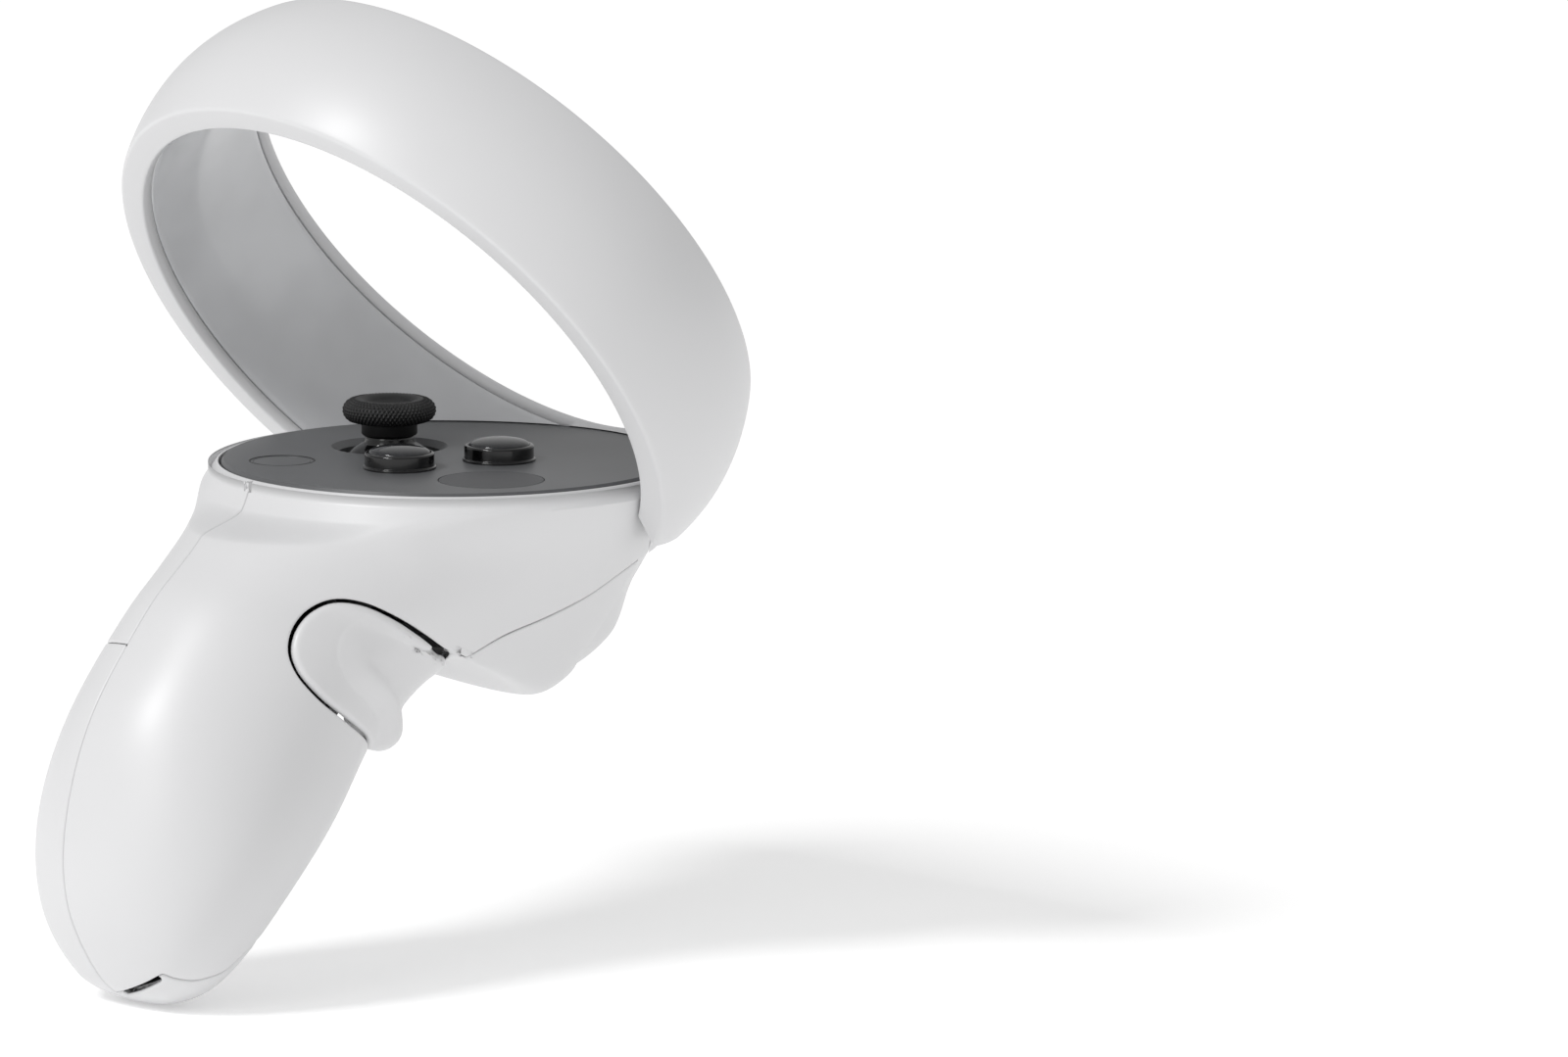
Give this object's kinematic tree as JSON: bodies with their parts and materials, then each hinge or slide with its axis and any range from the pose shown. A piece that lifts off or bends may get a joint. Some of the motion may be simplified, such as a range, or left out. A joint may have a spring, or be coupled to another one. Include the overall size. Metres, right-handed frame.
{
  "type": "vr motion controller",
  "caption": "Left-hand motion controller: white leaning handle, round dark control face with thumbstick and buttons, trigger, grip button and a tracking ring above.",
  "frame": {"origin": "under the middle of the whole object, level with the lowest point of the handle", "axes": "+X where the controller points, +Y the palm side, +Z square to the control face, up"},
  "size_m": [0.0953, 0.0864, 0.1219],
  "materials": {
    "white_shell": "fine satin moulded plastic",
    "ring_liner": "dark infrared-clear plastic, slightly glossy",
    "face_grey": "dark grey, matte",
    "face_pad": "darker grey, fine texture",
    "button_black": "black, glossy",
    "button_clear": "clear moulded dome",
    "rubber_black": "matte soft-touch",
    "rubber_grey": "silicone",
    "inner_plastic": "moulded, unpolished",
    "strap_grey": "moulded",
    "board_green": "solder mask",
    "chip_black": "moulded package",
    "led_dark": "dark clear package",
    "flex_amber": "polyimide film",
    "metal_bright": "plated steel",
    "metal_dark": "sintered tungsten alloy",
    "chrome_magnet": "nickel plate",
    "contact_gold": "gold-plated phosphor bronze",
    "cell_wrap": "printed film wrap, plain"
  },
  "bodies": {
    "body": {"grip_shell": "white_shell", "palm_shell": "white_shell", "trigger_housing": "white_shell", "ring_outer_shell": "white_shell", "ring_inner_liner": "ring_liner", "face_plate": "face_grey", "face_gasket": "rubber_black", "thumb_rest": "face_pad", "button_mat": "rubber_grey", "main_board": "board_green", "button_switches": "metal_bright", "board_chips": "chip_black", "stick_base": "inner_plastic", "stick_switch": "metal_bright", "frame": "inner_plastic", "face_screws": "metal_bright", "ring_flex": "flex_amber", "ring_leds": "led_dark", "trigger_pin": "metal_bright", "trigger_spring": "metal_bright", "trigger_sensor": "chip_black", "grip_bracket": "inner_plastic", "grip_pin": "metal_bright", "grip_spring": "metal_bright", "grip_sensor": "chip_black", "haptic_case": "metal_bright", "haptic_springs": "metal_bright", "battery_tray": "inner_plastic", "battery_cell": "cell_wrap", "battery_contact": "contact_gold", "battery_spring": "metal_bright", "strap_boss": "strap_grey", "antenna": "contact_gold", "shell_screws": "metal_bright"},
    "trigger": {"trigger": "white_shell", "trigger_lever": "inner_plastic", "trigger_magnet": "chrome_magnet"},
    "grip_button": {"grip_button": "white_shell", "grip_lever": "inner_plastic", "grip_magnet": "chrome_magnet"},
    "stick_click": {"stick_carrier": "inner_plastic"},
    "stick_gimbal": {"stick_gimbal": "inner_plastic"},
    "stick": {"stick_shaft": "metal_bright", "stick_cap": "rubber_black", "stick_skirt": "button_black"},
    "upper_button": {"upper_button": "button_black", "upper_button_lens": "button_clear"},
    "lower_button": {"lower_button": "button_black", "lower_button_lens": "button_clear"},
    "menu_button": {"menu_button": "face_grey"},
    "battery_cover": {"battery_cover": "white_shell"},
    "haptic_mass": {"haptic_mass": "metal_dark"}
  },
  "joints": [
    {"name": "trigger_pull", "type": "hinge", "parent": "body", "child": "trigger", "pos_m": [0.0332, 0, 0.0479], "axis": [0, 1, 0], "range_deg": [0, 12], "stiffness_Nm_per_rad": 0.03, "springref_deg": -17.19},
    {"name": "grip_press", "type": "hinge", "parent": "body", "child": "grip_button", "pos_m": [-0.0193, -0.0116, 0.0439], "axis": [0.5764, 0, 0.8171], "range_deg": [0, 6], "stiffness_Nm_per_rad": 0.05, "springref_deg": -14.32},
    {"name": "stick_press", "type": "slide", "parent": "body", "child": "stick_click", "axis": [0, 0, -1], "range_m": [0, 0.0005], "stiffness_N_per_m": 2000, "springref_m": -0.0002},
    {"name": "stick_tilt_x", "type": "hinge", "parent": "stick_click", "child": "stick_gimbal", "pos_m": [0.01645, 0.0117, 0.0561], "axis": [1, 0, 0], "range_deg": [-15, 15], "stiffness_Nm_per_rad": 0.012},
    {"name": "stick_tilt_y", "type": "hinge", "parent": "stick_gimbal", "child": "stick", "pos_m": [0.01645, 0.0117, 0.0561], "axis": [0, 1, 0], "range_deg": [-15, 15], "stiffness_Nm_per_rad": 0.012},
    {"name": "upper_press", "type": "slide", "parent": "body", "child": "upper_button", "axis": [0, 0, -1], "range_m": [0, 0.001], "stiffness_N_per_m": 500, "springref_m": -0.0005},
    {"name": "lower_press", "type": "slide", "parent": "body", "child": "lower_button", "axis": [0, 0, -1], "range_m": [0, 0.001], "stiffness_N_per_m": 500, "springref_m": -0.0005},
    {"name": "menu_press", "type": "slide", "parent": "body", "child": "menu_button", "axis": [0, 0, -1], "range_m": [0, 0.0004], "stiffness_N_per_m": 1000, "springref_m": -0.0003},
    {"name": "battery_cover_slide", "type": "slide", "parent": "body", "child": "battery_cover", "axis": [-0.5764, 0, -0.8171], "range_m": [0, 0.025]},
    {"name": "haptic_shake", "type": "slide", "parent": "body", "child": "haptic_mass", "axis": [0, 1, 0], "range_m": [-0.0008, 0.0008], "stiffness_N_per_m": 2000}
  ]
}
